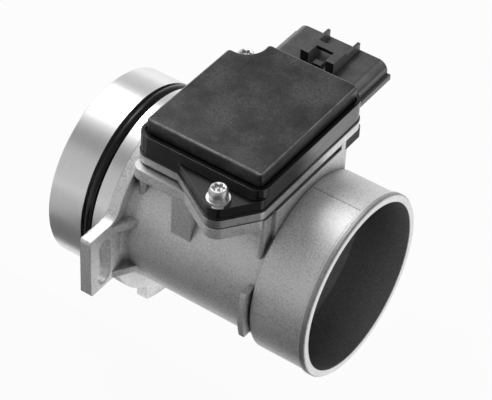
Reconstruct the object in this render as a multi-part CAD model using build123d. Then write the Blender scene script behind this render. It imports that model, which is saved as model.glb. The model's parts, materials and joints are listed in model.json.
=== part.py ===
from build123d import *
import os

# Mass airflow sensor: a cast duct with a machined, sealed spigot at the inlet and a beaded hose tube at the
# outlet. A bolted module on top holds the electronics, and its probe hangs in the air stream.
# Frame: X along the bore towards the hose end, Z up to the module, -Y the side of the earth tab.
# The origin is on the bore axis, in the flange's mounting face. All sizes are millimetres.

os.makedirs("parts", exist_ok=True)

# Clearances
running_gap = 0.15
seat_gap = 0.3
fuse = 0.6

# Body tube, whose radius drives the duct's other radii
body_r = 34.7
body_wall = 3.0
shoulder_x = 65.7

# Bore
bore_r = body_r - body_wall
hose_bore_step = 3.3
hose_bore_r = bore_r + hose_bore_step
taper_start_x = 58.0
taper_end_x = 67.5
bell_l = 14.0

# Spigot and its seal groove
spigot_step = 5.1
spigot_r = body_r + spigot_step
spigot_l = 27.7
spigot_chamfer = 0.6
land_l = 6.5
groove_w = 5.2
groove_depth = 3.4
groove_r = spigot_r - groove_depth
bell_r = spigot_r - groove_depth
o_ring_proud = 0.35

# Mounting flange with its two ears and lower lobe
flange_lip = 1.2
flange_r = spigot_r + flange_lip
flange_t = 4.9
flange_fillet = 2.2
ear_reach = 54.7
ear_h = 28.0
ear_corner_r = 1.4
ear_root_r = 7.0
slot_w = 6.6
slot_inset = 4.9
slot_y = flange_r + slot_inset
slot_top_z = 9.2
keyhole_d = 7.8
keyhole_shift = 0.6
keyhole_y = slot_y + keyhole_shift
keyhole_z = -8.3
lobe_reach = 6.3
lobe_r = flange_r + lobe_reach
lobe_w = 38.4
gusset_t = 3.0
gusset_land = 0.8
gusset_reach = slot_y - slot_w / 2 - gusset_land
gusset_l = 6.1
gusset_top_z = 12.6
lower_gusset_z = -13.6

# Hose tube and bead
hose_step = 2.6
hose_r = body_r + hose_step
hose_end_x = 90.2
bead_h = 0.7
bead_r = hose_r + bead_h
bead_w = 2.1
bead_setback = 0.7
face_land = 0.1
face_r = hose_r + face_land
stop_reach = 5.9
stop_r = body_r + stop_reach
stop_h = 22.0
stop_t = 2.4
stop_gap = 0.9

# Seat and pedestal that carry the module
seat_rise = 4.1
seat_bottom_z = body_r + seat_rise
seat_t = 4.8
seat_skirt = 3.3
seat_inset = 0.3
seat_corner_r = 4.0
seat_side_x = 62.6
seat_side_far_y = 20.0
seat_far_x = 65.2
seat_far_r = 2.0
pedestal_x0 = 6.6
pedestal_half_y = 24.0
pedestal_wall = 3.2
end_wall_x = 64.0
end_wall_t = 2.8
end_wall_near_y = 28.4
end_wall_far_y = 26.9
end_wall_edge_r = 1.25
end_step_x = 65.5
end_step_y = 23.0
end_step_z = 41.5
left_rib_t = 2.8
left_rib_half_y = 27.6
left_rib_edge_r = 1.25
block_x = 24.9
block_w = 9.0
block_half_y = 31.6
boss_wall = 3.0

# Module stack: gasket, base plate, case and cover
gasket_t = 0.8
gasket_inset = 1.2
base_t = 3.6
base_proud = 0.25
case_x0 = 9.8
case_w = 55.8
case_half_y = 34.0
case_corner_r = 5.2
case_h = 9.6
case_wall = 1.4
foot_lip_h = 0.8
foot_lip_w = 0.4
ear_floor_h = 5.3
far_floor_h = 2.9
ear_r = 5.4
ear_root_x = 29.3
ear_end_drop = 2.0
ear_end_y = case_half_y - ear_end_drop
ear_end_r = 4.0
scallop_r = 6.0
scallop_blend_r = 2.6
cover_blend_r = 1.6
side_gap = 2.6
near_gap = 3.2
far_gap = 2.0
ledge_w = 3.2
ledge_depth = 3.0
sealant_drop = 0.5
cover_rise = 5.4
cover_t = 2.2
cover_skirt_t = 1.6
cover_edge_r = 1.1
cover_corner_r = 1.5
cover_band_h = 4.0
cover_band_w = 0.2

# Module screws, one in the near ear and one in the far corner
near_screw_out = 7.3
far_screw_in = 4.8
near_screw = (52.2, -case_half_y - near_screw_out)
far_screw = (case_x0 + far_screw_in, case_half_y - far_screw_in)
screw_d = 3.9
screw_hole_d = 4.3
thread_hole_d = 4.1
head_d = 7.0
head_h = 3.4
head_edge_r = 0.7
head_flats = 6.3
head_turn = 33.0
recess_d = 3.6
recess_lobe_d = 1.1
recess_depth = 1.7
recess_pin_d = 1.3
spring_washer_d = 7.4
spring_washer_t = 1.1
spring_washer_slit = 0.7
flat_washer_d = 9.0
flat_washer_t = 0.9
bush_d = 6.6
earth_tab_t = 0.3
earth_tab_w = 4.6

# Connector on the far side of the case
connector_x = 39.5
connector_w = 40.6
connector_h = 11.2
connector_r = 4.2
connector_end_y = 59.0
connector_wall = 1.8
socket_floor_y = 39.0
connector_drop = 8.2
fin_reach = 1.6
fin_t = 2.4
fin_drop = 0.6
rib_t = 1.2
rib_h = 3.2
rib_spread = 13.6
bridge_w = 15.0
bridge_y0 = 40.0
bridge_l = 9.0
bridge_h = 5.0
bridge_leg_w = 3.6
bridge_roof_t = 1.6
bridge_notch_l = 5.9
catch_w = 3.6
catch_l = 3.6
catch_h = 1.5
catch_slope = 1.2

# Circuit and terminals
board_margin = 1.0
board_t = 1.6
chip_size = (14.0, 10.0, 2.2)
chip_at = (30.0, -6.0)
chip_edge = 0.4
transistor_size = (9.0, 10.0, 3.2)
transistor_in = 15.6
transistor_at = (case_x0 + case_w - transistor_in, 12.0)
capacitor_d = 5.0
capacitor_h = 5.6
capacitor_edge_r = 0.5
capacitor_at = ((20.0, -22.0), (28.0, -22.0))
terminal_count = 6
terminal_pitch = 5.2
terminal_w = 1.6
terminal_t = 0.8
terminal_foot_y = 24.0
terminal_tip_y = 53.0
terminal_point = 0.25

# Probe that hangs in the bore, with its two elements on pins
probe_x = 37.0
probe_w = 21.0
probe_y = 11.0
probe_corner_r = 3.0
probe_bottom_z = -8.0
probe_rim_r = 1.5
passage_d = 8.6
passage_mouth_d = 10.4
passage_mouth_l = 2.5
pin_d = 0.8
pin_hole_d = 1.1
pin_spread_x = 6.4
pin_spread_y = 4.8
pin_window = (10.0, 8.0)
hot_element_d = 1.0
temperature_element_d = 1.6
seal_section = 1.8
seal_drop = 2.8
seal_z = seat_bottom_z - seal_drop

# Levels and edges worked out from the sizes above
seat_top_z = seat_bottom_z + seat_t
base_z = seat_top_z + gasket_t
case_z = base_z + base_t
ear_floor_z = case_z + ear_floor_h
far_floor_z = case_z + far_floor_h
rim_z = case_z + case_h
ledge_z = rim_z - ledge_depth
cover_top_z = rim_z + cover_rise
case_x1 = case_x0 + case_w
board_z = case_z
terminal_z = board_z + board_t
connector_z = rim_z - connector_drop
connector_top_z = connector_z + connector_h / 2
screws = {"near": near_screw, "far": far_screw}
floors = {"near": ear_floor_z, "far": far_floor_z}


def block(x, y, z):
    """Box between pairs of limits along X, Y and Z."""
    size = (x[1] - x[0], y[1] - y[0], z[1] - z[0])
    centre = ((x[0] + x[1]) / 2, (y[0] + y[1]) / 2, (z[0] + z[1]) / 2)
    return Pos(*centre) * Box(*size)


def post(radius, z, at):
    """Upright cylinder between two heights."""
    return Pos(at[0], at[1], (z[0] + z[1]) / 2) * Cylinder(radius, z[1] - z[0])


def lying(radius, x):
    """Cylinder along the bore axis."""
    return Pos((x[0] + x[1]) / 2, 0, 0) * Rot(0, 90, 0) * Cylinder(radius, x[1] - x[0])


def slab(plan, z):
    """Plan drawn on the floor, raised between two heights."""
    return extrude(Pos(0, 0, z[0]) * plan, z[1] - z[0])


def corner(plan, x, y):
    """Vertex of a plan nearest to a point."""
    return plan.vertices().sort_by_distance((x, y, 0))[0]


def module_plan():
    """Outline of the module's lower layers: a rectangle with the near screw ear."""
    left = case_x0
    near = -case_half_y
    far = case_half_y
    plan = make_face(
        Polyline(
            (left, far),
            (left, near),
            (near_screw[0], near),
            (case_x1, -ear_end_y),
            (case_x1, far),
            close=True,
        )
    )
    tip = Pos(*near_screw) * CenterArc((0, 0), ear_r, 0, 360)
    root = Line((ear_root_x, -case_half_y), (case_x1, -ear_end_y))
    plan = Sketch() + plan + make_hull([tip.edge(), root.edge()])
    for x, y in ((left, far), (left, near), (case_x1, far)):
        plan = fillet(corner(plan, x, y), case_corner_r)
    return fillet(corner(plan, case_x1, -ear_end_y), ear_end_r)


def scalloped_plan(x, y, corner_r, scallop, blend):
    """Rounded rectangle between limits, with its far-left corner cut away round the far screw."""
    plan = Pos((x[0] + x[1]) / 2, (y[0] + y[1]) / 2) * RectangleRounded(x[1] - x[0], y[1] - y[0], corner_r)
    plan = Sketch() + plan - Pos(*far_screw) * Circle(scallop)
    plan -= Pos(x[0], y[1]) * Rectangle(2 * (far_screw[0] - x[0]), 2 * (y[1] - far_screw[1]))
    plan = fillet(corner(plan, x[0], far_screw[1] - scallop), blend)
    return fillet(corner(plan, far_screw[0] + scallop, y[1]), blend)


def wall_plan(inset=0.0):
    """Outline of the case's upper wall, moved inwards by inset."""
    x = (case_x0 + inset, case_x1 - inset)
    y = (inset - case_half_y, case_half_y - inset)
    return scalloped_plan(x, y, case_corner_r - inset, scallop_r + inset, scallop_blend_r)


def cover_plan(grow=0.0):
    """Outline of the cover inside the case's wall, larger all round by grow."""
    x = (case_x0 + side_gap - grow, case_x1 - side_gap + grow)
    y = (near_gap - case_half_y - grow, case_half_y - far_gap + grow)
    return scalloped_plan(x, y, cover_corner_r + grow, scallop_r + side_gap - grow, cover_blend_r)


def duct():
    """Turned outline of the duct, from the bell mouth round to the bead and back over the spigot."""
    bead_x1 = hose_end_x - bead_setback
    bead_x0 = bead_x1 - bead_w
    groove_x1 = -land_l
    groove_x0 = groove_x1 - groove_w
    bell_x = bell_l - spigot_l
    outline = Polyline(
        (bell_x, bore_r),
        (taper_start_x, bore_r),
        (taper_end_x, hose_bore_r),
        (hose_end_x, hose_bore_r),
        (hose_end_x, face_r),
        (bead_x1, bead_r),
        (bead_x0, bead_r),
        (bead_x0, hose_r),
        (shoulder_x, hose_r),
        (shoulder_x, body_r),
        (flange_t, body_r),
        (flange_t, flange_r),
        (0, flange_r),
        (0, spigot_r),
        (groove_x1, spigot_r),
        (groove_x1, groove_r),
        (groove_x0, groove_r),
        (groove_x0, spigot_r),
        (spigot_chamfer - spigot_l, spigot_r),
        (-spigot_l, spigot_r - spigot_chamfer),
        (-spigot_l, bell_r),
    )
    bell = TangentArc((bell_x, bore_r), (-spigot_l, bell_r), tangent=(-1, 0))
    section = make_face(outline.edges() + bell.edges())
    section = fillet(corner(section, flange_t, body_r), flange_fillet)
    return revolve(section, Axis.X)


def ear_slot_plan(side):
    """Keyhole slot of one ear: a narrow upright slot that opens into a round hole below."""
    top_z = slot_top_z - slot_w / 2
    straight = SlotCenterToCenter(top_z - keyhole_z, slot_w, rotation=90)
    round_hole = Pos(side * keyhole_y, keyhole_z) * Circle(keyhole_d / 2)
    return Pos(side * slot_y, (top_z + keyhole_z) / 2) * straight + round_hole


def flange_plate():
    """Ears and lower lobe that stand out from the flange's disc."""
    ears = Rectangle(2 * ear_reach, ear_h)
    ears = fillet(ears.vertices(), ear_corner_r)
    lobe = Circle(lobe_r) & (Pos(0, -lobe_r / 2) * Rectangle(lobe_w, lobe_r))
    plan = ears + lobe + Circle(flange_r)
    root_y = (flange_r**2 - (ear_h / 2) ** 2) ** 0.5
    for side in (-1, 1):
        plan = fillet(corner(plan, side * root_y, ear_h / 2), ear_root_r)
        plan = fillet(corner(plan, side * root_y, -ear_h / 2), ear_root_r)
        plan -= ear_slot_plan(side)
    plan -= Circle(body_r)
    return extrude(Plane.YZ * plan, flange_t)


def ear_gussets():
    """Two triangular webs that brace each ear against the body tube."""
    root_y = body_r - pedestal_wall
    tip_x = flange_t + gusset_l
    webs = Part()
    for z in (gusset_top_z - gusset_t, lower_gusset_z):
        for side in (-1, 1):
            plan = make_face(
                Polyline(
                    (flange_t - fuse, side * root_y),
                    (flange_t - fuse, side * gusset_reach),
                    (flange_t, side * gusset_reach),
                    (tip_x, side * (root_y + fuse)),
                    (tip_x, side * root_y),
                    close=True,
                )
            )
            webs += slab(plan, (z, z + gusset_t))
    return webs - lying(body_r - fuse, (0, tip_x + fuse))


def hose_stops():
    """Curved lugs beside the shoulder that stop the hose."""
    stop_x1 = shoulder_x - stop_gap
    band = lying(stop_r, (stop_x1 - stop_t, stop_x1))
    sides = block((0, hose_end_x), (-stop_r, stop_r), (-stop_h / 2, stop_h / 2))
    return (band & sides) - lying(body_r - fuse, (0, hose_end_x))


def pedestal():
    """Walls and ribs between the body tube and the module seat."""
    top = seat_bottom_z + fuse
    inner_x1 = end_wall_x - end_wall_t
    walls = block((pedestal_x0, inner_x1 + fuse), (-pedestal_half_y, pedestal_half_y), (0, top))
    end_wall = block((inner_x1, end_wall_x), (-end_wall_near_y, end_wall_far_y), (0, top))
    end_wall = fillet(end_wall.edges().filter_by(Axis.Z), end_wall_edge_r)
    left_rib = block((pedestal_x0, pedestal_x0 + left_rib_t), (-left_rib_half_y, left_rib_half_y), (0, top))
    left_rib = fillet(left_rib.edges().filter_by(Axis.Z), left_rib_edge_r)
    blocks = block((block_x, block_x + block_w), (-block_half_y, block_half_y), (0, top))
    end_step = block((inner_x1, end_step_x), (-end_step_y, seat_side_far_y), (0, end_step_z))
    solid = walls + end_wall + left_rib + blocks + end_step
    return solid - lying(body_r - fuse, (0, hose_end_x))


def seat():
    """Flat plate under the module, drawn back along the hose side up to its far end."""
    half_y = case_half_y + seat_skirt
    x0 = case_x0 + seat_inset
    skirt = Rectangle(near_screw[0] - x0, 2 * half_y)
    skirt = fillet(skirt.vertices().group_by(Axis.X)[0], seat_corner_r)
    plan = module_plan() + Pos((near_screw[0] + x0) / 2, 0) * skirt
    plan -= Pos(case_x0, 0) * Rectangle(2 * seat_inset, 2 * half_y)
    relief_y = (seat_side_far_y - ear_end_y) / 2
    plan -= Pos(case_x1, relief_y) * Rectangle(2 * (case_x1 - seat_side_x), seat_side_far_y + ear_end_y)
    far_end = Rectangle(seat_far_x - near_screw[0], case_half_y - seat_side_far_y)
    plan += Pos((near_screw[0] + seat_far_x) / 2, (seat_side_far_y + case_half_y) / 2) * far_end
    plan -= Pos(case_x1, half_y) * Rectangle(2 * (case_x1 - seat_far_x), 2 * (half_y - seat_side_far_y))
    plan = fillet(corner(plan, seat_far_x, case_half_y), seat_far_r)
    return slab(plan, (seat_bottom_z, seat_top_z))


def probe_plan(grow=0.0):
    """Outline of the probe's neck, larger all round by grow."""
    size = (probe_w + 2 * grow, probe_y + 2 * grow)
    return Pos(probe_x, 0) * RectangleRounded(*size, probe_corner_r + grow)


def housing_casting():
    """The whole casting: duct, flange, stops, pedestal and seat, with its core, bores and tapped holes."""
    solid = duct() + flange_plate() + ear_gussets() + hose_stops() + pedestal() + seat()
    core_x = (pedestal_x0 + pedestal_wall, end_wall_x - end_wall_t)
    core_y = pedestal_half_y - pedestal_wall
    core = block(core_x, (-core_y, core_y), (0, seat_top_z))
    core -= slab(probe_plan(boss_wall), (0, seat_top_z))
    solid -= core - lying(body_r, (0, hose_end_x))
    solid -= slab(probe_plan(running_gap), (0, seat_top_z))
    groove = slab(probe_plan(seal_section - seat_gap), (seal_z, seal_z + seal_section))
    solid -= groove
    solid -= lying(bore_r, (0, taper_start_x))
    for x, y in screws.values():
        solid -= post(thread_hole_d / 2, (seat_bottom_z, seat_top_z), (x, y))
    return solid


def spigot_o_ring():
    """Stretched ring that stands a little proud of the spigot."""
    section_r = (spigot_r + o_ring_proud - groove_r) / 2
    x = -land_l - groove_w / 2
    return Pos(x, 0, 0) * Rot(0, 90, 0) * Torus(groove_r + section_r, section_r)


def base_gasket():
    """Flat gasket between the seat and the base plate."""
    plan = offset(module_plan(), amount=-gasket_inset, kind=Kind.INTERSECTION)
    plan -= Pos(case_x1, 0) * Rectangle(2 * (case_x1 - seat_side_x + gasket_inset), 2 * ear_end_y)
    plan -= probe_plan(seat_gap)
    for x, y in screws.values():
        plan -= Pos(x, y) * Circle(screw_hole_d / 2)
    return slab(plan, (seat_top_z, base_z))


def module_base_plate():
    """Metal plate that closes the case from below and carries the board and the probe."""
    plan = offset(module_plan(), amount=base_proud, kind=Kind.INTERSECTION)
    plan -= Pos(probe_x, 0) * Rectangle(*pin_window)
    for x, y in screws.values():
        plan -= Pos(x, y) * Circle(screw_hole_d / 2)
    return slab(plan, (base_z, case_z))


def bridge():
    """Latch bridge on the connector: two legs and a roof bar, open towards the mouth."""
    x0 = connector_x - bridge_w / 2
    x1 = connector_x + bridge_w / 2
    top_z = connector_top_z + bridge_h
    y1 = bridge_y0 + bridge_l
    inner = (x0 + bridge_leg_w, x1 - bridge_leg_w)
    arch = block((x0, x1), (bridge_y0, y1), (connector_top_z - fuse, top_z))
    arch -= block(inner, (bridge_y0, y1), (connector_top_z, top_z - bridge_roof_t))
    arch -= block(inner, (bridge_y0, bridge_y0 + bridge_notch_l), (connector_top_z, top_z))
    catch_x = (connector_x - catch_w / 2, connector_x + catch_w / 2)
    catch_y = (bridge_y0, bridge_y0 + catch_l)
    catch = block(catch_x, catch_y, (connector_top_z - fuse, connector_top_z + catch_h))
    top_edges = catch.edges().filter_by(Axis.X).group_by(Axis.Z)[-1]
    catch = chamfer(top_edges.sort_by(Axis.Y)[-1], catch_slope)
    return arch + catch


def connector():
    """Rounded shroud with side fins, top ribs and latch bridge."""
    root_y = case_half_y - case_wall - ledge_w
    mouth = Plane(origin=(connector_x, root_y, connector_z), x_dir=(1, 0, 0), z_dir=(0, 1, 0))
    outline = RectangleRounded(connector_w, connector_h, connector_r)
    shroud = extrude(mouth * outline, connector_end_y - root_y)
    fin_half = connector_w / 2 + fin_reach
    fin_z = (connector_z - fin_drop - fin_t / 2, connector_z - fin_drop + fin_t / 2)
    fins = block((connector_x - fin_half, connector_x + fin_half), (root_y, connector_end_y), fin_z)
    solid = shroud + fins + bridge()
    for side in (-1, 1):
        x = connector_x + side * rib_spread / 2
        rib_y = (bridge_y0 + bridge_l - fuse, connector_end_y)
        rib_z = (connector_top_z - fuse, connector_top_z + rib_h)
        solid += block((x - rib_t / 2, x + rib_t / 2), rib_y, rib_z)
    below = block((case_x0, case_x1), (0, case_half_y + seat_gap), (0, case_z))
    return solid - below


def terminal_blade(index, tip=0.0):
    """Flat blade from the board through the case's back wall into the socket."""
    x = connector_x + (index - (terminal_count - 1) / 2) * terminal_pitch
    limits_x = (x - terminal_w / 2, x + terminal_w / 2)
    blade = block(limits_x, (terminal_foot_y, terminal_tip_y), (terminal_z, terminal_z + terminal_t))
    if tip:
        blade = chamfer(blade.faces().sort_by(Axis.Y)[-1].edges(), tip)
    return blade


def cavity_plan(inset=0.0):
    """Outline of the case's cavity below the ledge, moved inwards by inset."""
    return offset(wall_plan(case_wall), amount=-ledge_w - inset, kind=Kind.INTERSECTION)


def circuit_case():
    """Moulded frame: foot lip, screw ears, upper wall, cover ledge and the connector."""
    solid = slab(module_plan(), (case_z, ear_floor_z)) + slab(wall_plan(), (case_z, rim_z))
    lip_plan = offset(module_plan(), amount=foot_lip_w, kind=Kind.INTERSECTION)
    solid += slab(lip_plan, (case_z, case_z + foot_lip_h))
    solid += connector()
    solid -= slab(wall_plan(case_wall), (ledge_z, rim_z))
    solid -= slab(cavity_plan(), (case_z, ledge_z))
    inner = (connector_w - 2 * connector_wall, connector_h - 2 * connector_wall)
    mouth = Plane(origin=(connector_x, socket_floor_y, connector_z), x_dir=(1, 0, 0), z_dir=(0, 1, 0))
    socket = RectangleRounded(*inner, connector_r - connector_wall)
    solid -= extrude(mouth * socket, connector_end_y - socket_floor_y)
    for index in range(terminal_count):
        solid -= terminal_blade(index)
    far_corner = Pos(*far_screw) * Rectangle(4 * scallop_r, 4 * scallop_r)
    solid -= slab((module_plan() - wall_plan()) & far_corner, (far_floor_z, ear_floor_z))
    for x, y in screws.values():
        solid -= post(bush_d / 2, (case_z, ear_floor_z), (x, y))
    return solid


def circuit_cover():
    """Lid with a rounded top edge over a slightly narrower band, on a skirt that stands on the ledge."""
    band_z = cover_top_z - cover_band_h
    outer = slab(cover_plan(), (ledge_z, band_z))
    cap = slab(cover_plan(cover_band_w), (band_z, cover_top_z))
    cap = fillet(cap.faces().sort_by(Axis.Z)[-1].edges(), cover_edge_r)
    hollow = offset(cover_plan(), amount=-cover_skirt_t, kind=Kind.INTERSECTION)
    inner = slab(hollow, (ledge_z, cover_top_z - cover_t))
    return outer + cap - inner


def cover_sealant():
    """Bead of sealant that fills the groove between cover and case."""
    plan = wall_plan(case_wall) - cover_plan()
    return slab(plan, (ledge_z, rim_z - sealant_drop))


def board_plan():
    """Outline of the circuit board inside the case."""
    return cavity_plan(board_margin)


def circuit_board():
    """Board that lies on the base plate, bored for the element pins."""
    plan = board_plan()
    for x, y in pin_places():
        plan -= Pos(x, y) * Circle(pin_hole_d / 2)
    return slab(plan, (board_z, board_z + board_t))


def control_chip():
    """Moulded controller package on the board."""
    z = board_z + board_t + chip_size[2] / 2
    package = Pos(*chip_at, z) * Box(*chip_size)
    return chamfer(package.faces().sort_by(Axis.Z)[-1].edges(), chip_edge)


def power_transistor():
    """Heating transistor with its mounting tab step."""
    z = board_z + board_t + transistor_size[2] / 2
    package = Pos(*transistor_at, z) * Box(*transistor_size)
    step = Pos(transistor_at[0], transistor_at[1] + transistor_size[1] / 2, z + transistor_size[2] / 2)
    return package - step * Box(transistor_size[0], transistor_size[1] / 2, transistor_size[2])


def capacitor(at):
    """Upright can capacitor."""
    z = board_z + board_t
    can = post(capacitor_d / 2, (z, z + capacitor_h), at)
    return fillet(can.edges().sort_by(Axis.Z)[-1], capacitor_edge_r)


def pin_places():
    """Plan positions of the four element pins, upstream pair first."""
    offsets = [(sx, sy) for sx in (-1, 1) for sy in (-1, 1)]
    return [(probe_x + sx * pin_spread_x / 2, sy * pin_spread_y / 2) for sx, sy in offsets]


def element_pin(at):
    """Straight pin from the passage up to the board."""
    return post(pin_d / 2, (-pin_d / 2, board_z + board_t), at)


def sensing_element(side, diameter):
    """Small rod across the passage between one pair of pins."""
    length = pin_spread_y - pin_d
    place = Pos(probe_x + side * pin_spread_x / 2, 0, 0) * Rot(90, 0, 0)
    return place * Cylinder(diameter / 2, length)


def bypass_probe():
    """Moulded probe with a round sensing passage along the bore, flared at both mouths."""
    solid = slab(probe_plan(), (probe_bottom_z, base_z))
    rim = solid.faces().sort_by(Axis.Z)[0].edges()
    solid = fillet(rim, probe_rim_r)
    x0 = probe_x - probe_w / 2
    x1 = probe_x + probe_w / 2
    solid -= lying(passage_d / 2, (x0, x1))
    mouths = ((x0, passage_mouth_d, passage_d), (x1 - passage_mouth_l, passage_d, passage_mouth_d))
    for x, base, top in mouths:
        solid -= Pos(x + passage_mouth_l / 2, 0, 0) * Rot(0, 90, 0) * Cone(base / 2, top / 2, passage_mouth_l)
    for at in pin_places():
        solid -= post(pin_hole_d / 2, (0, base_z), at)
    return solid


def probe_seal():
    """Square-section ring round the probe's neck, in its groove in the casting."""
    depth = seal_section - seat_gap
    plan = probe_plan(depth) - probe_plan()
    return slab(plan, (seal_z, seal_z + seal_section))


def compression_bush(name):
    """Steel sleeve that takes the screw's clamping load through the plastic ear."""
    z = (case_z, floors[name])
    return post(bush_d / 2, z, screws[name]) - post(screw_hole_d / 2, z, screws[name])


def washer_base(name):
    """Height that the flat washer of a screw lies on."""
    return floors[name] + (earth_tab_t if name == "near" else 0.0)


def flat_washer(name):
    """Plain washer under the spring washer."""
    z0 = washer_base(name)
    z = (z0, z0 + flat_washer_t)
    return post(flat_washer_d / 2, z, screws[name]) - post(screw_hole_d / 2, z, screws[name])


def spring_washer(name):
    """Split ring under the screw head."""
    z0 = washer_base(name) + flat_washer_t
    z = (z0, z0 + spring_washer_t)
    x, y = screws[name]
    ring = post(spring_washer_d / 2, z, (x, y)) - post(screw_hole_d / 2, z, (x, y))
    slit = block((x, x + spring_washer_d), (y - spring_washer_slit / 2, y + spring_washer_slit / 2), z)
    return ring - slit


def module_screw(name):
    """Screw with a rounded hexagon head and a six-lobed recess with a centre pin."""
    at = screws[name]
    z0 = washer_base(name) + flat_washer_t + spring_washer_t
    top = z0 + head_h
    head = post(head_d / 2, (z0, top), at)
    head = fillet(head.edges().sort_by(Axis.Z)[-1], head_edge_r)
    flats = RegularPolygon(head_flats / 2, 6, major_radius=False, rotation=head_turn)
    head &= slab(Pos(*at) * flats, (z0, top))
    star = Circle(recess_d / 2 - recess_lobe_d / 4)
    for lobe in PolarLocations(recess_d / 2 - recess_lobe_d / 4, 6):
        star += lobe * Circle(recess_lobe_d / 2)
    star -= Circle(recess_pin_d / 2)
    head -= slab(Pos(*at) * star, (top - recess_depth, top))
    return head + post(screw_d / 2, (seat_bottom_z, z0), at)


def earth_tab():
    """Tab washer under the near screw, with a tongue out to the edge of the ear."""
    x, y = near_screw
    tongue_y = (y - ear_r, y)
    z = (ear_floor_z, ear_floor_z + earth_tab_t)
    tab = post(flat_washer_d / 2, z, near_screw)
    tab += block((x - earth_tab_w / 2, x + earth_tab_w / 2), tongue_y, z)
    tab &= post(ear_r, z, near_screw)
    return tab - post(screw_hole_d / 2, z, near_screw)


def save(name, shape):
    """Write one node's STEP file."""
    export_step(shape, f"parts/{name}.step")


save("housing_casting", housing_casting())
save("spigot_o_ring", spigot_o_ring())
save("base_gasket", base_gasket())
save("module_base_plate", module_base_plate())
save("circuit_case", circuit_case())
save("circuit_cover", circuit_cover())
save("cover_sealant", cover_sealant())
save("circuit_board", circuit_board())
save("control_chip", control_chip())
save("power_transistor", power_transistor())
for number, place in enumerate(capacitor_at, start=1):
    save(f"capacitor_{number}", capacitor(place))
for number in range(terminal_count):
    save(f"terminal_{number + 1}", terminal_blade(number, terminal_point))
save("bypass_probe", bypass_probe())
save("probe_seal", probe_seal())
for number, place in enumerate(pin_places(), start=1):
    save(f"element_pin_{number}", element_pin(place))
save("hot_element", sensing_element(-1, hot_element_d))
save("temperature_element", sensing_element(1, temperature_element_d))
for name in screws:
    save(f"compression_bush_{name}", compression_bush(name))
    save(f"flat_washer_{name}", flat_washer(name))
    save(f"spring_washer_{name}", spring_washer(name))
    save(f"module_screw_{name}", module_screw(name))
save("earth_tab", earth_tab())
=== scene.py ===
import json
import math

import bmesh
import bpy
from mathutils import Matrix, Vector


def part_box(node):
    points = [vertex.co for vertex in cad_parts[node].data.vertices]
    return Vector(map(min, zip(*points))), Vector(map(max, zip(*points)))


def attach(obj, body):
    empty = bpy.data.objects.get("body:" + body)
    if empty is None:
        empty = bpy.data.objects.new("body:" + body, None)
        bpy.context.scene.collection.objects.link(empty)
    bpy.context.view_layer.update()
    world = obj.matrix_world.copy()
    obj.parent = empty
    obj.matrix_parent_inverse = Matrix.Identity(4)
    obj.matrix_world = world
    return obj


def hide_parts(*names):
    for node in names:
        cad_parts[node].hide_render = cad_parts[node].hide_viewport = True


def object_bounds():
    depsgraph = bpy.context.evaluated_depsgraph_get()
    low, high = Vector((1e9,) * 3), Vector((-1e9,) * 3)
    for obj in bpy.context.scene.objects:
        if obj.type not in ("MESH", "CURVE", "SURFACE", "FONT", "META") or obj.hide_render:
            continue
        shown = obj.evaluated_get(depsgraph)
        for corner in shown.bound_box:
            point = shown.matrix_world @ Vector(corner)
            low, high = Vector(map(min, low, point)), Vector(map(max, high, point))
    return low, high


# mass airflow sensor: cast duct, O-ring, bolted electronics case with its connector
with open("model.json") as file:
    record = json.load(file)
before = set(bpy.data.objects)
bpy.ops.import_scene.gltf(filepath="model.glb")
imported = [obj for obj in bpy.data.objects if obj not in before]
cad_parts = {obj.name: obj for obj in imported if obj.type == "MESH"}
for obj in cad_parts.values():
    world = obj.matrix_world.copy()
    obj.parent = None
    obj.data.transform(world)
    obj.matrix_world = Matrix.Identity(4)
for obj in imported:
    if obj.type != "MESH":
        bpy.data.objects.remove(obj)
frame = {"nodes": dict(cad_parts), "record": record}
nodes = frame["nodes"]
cadLow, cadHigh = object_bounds()
print("frame loaded,", len(nodes), "CAD nodes")

mm = 0.001
patternSpan = (0.3, 0.7)  # what a noise pattern mostly runs between
coreShare = 0.4  # part of a speck's or line's half width that is at full strength
softSamples = 6  # rays of the nodes that look round a point
edgeSpan = (0.995, 0.86)  # how well rounded and flat normals agree, from flat to edge

# floors of the case's two ears and the tab washer on the near one, in millimetres, as in the CAD
earFloors = {"near": 53.3, "far": 50.9}
tabThickness = 0.3


def newMaterial(name):
    mat = bpy.data.materials.new(name)
    mat.use_nodes = True
    tree = mat.node_tree
    tree.nodes.clear()
    out = tree.nodes.new("ShaderNodeOutputMaterial")
    shader = tree.nodes.new("ShaderNodeBsdfPrincipled")
    tree.links.new(shader.outputs["BSDF"], out.inputs["Surface"])
    return mat, tree, shader


def plug(tree, value, socket):
    # a number or colour is set on the socket, anything else is linked
    if isinstance(value, bpy.types.NodeSocket):
        tree.links.new(value, socket)
    else:
        socket.default_value = value


def mathNode(tree, operation, a, b=None, c=None):
    node = tree.nodes.new("ShaderNodeMath")
    node.operation = operation
    for value, socket in zip((a, b, c), node.inputs):
        if value is not None:
            plug(tree, value, socket)
    return node.outputs[0]


def times(tree, first, *others):
    product = first
    for other in others:
        product = mathNode(tree, "MULTIPLY", product, other)
    return product


def unless(tree, mask):
    # 1 where the mask is 0
    return mathNode(tree, "SUBTRACT", 1.0, mask)


def varied(tree, pattern, amount, middle):
    # the middle value, pushed up and down by a pattern that goes round 0.5
    return mathNode(tree, "MULTIPLY_ADD", mathNode(tree, "SUBTRACT", pattern, 0.5), amount, middle)


def dimmed(tree, shade, mask, amount):
    # takes the given share away from the shade where the mask is 1
    return times(tree, shade, mathNode(tree, "MULTIPLY_ADD", mask, -amount, 1.0))


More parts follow.
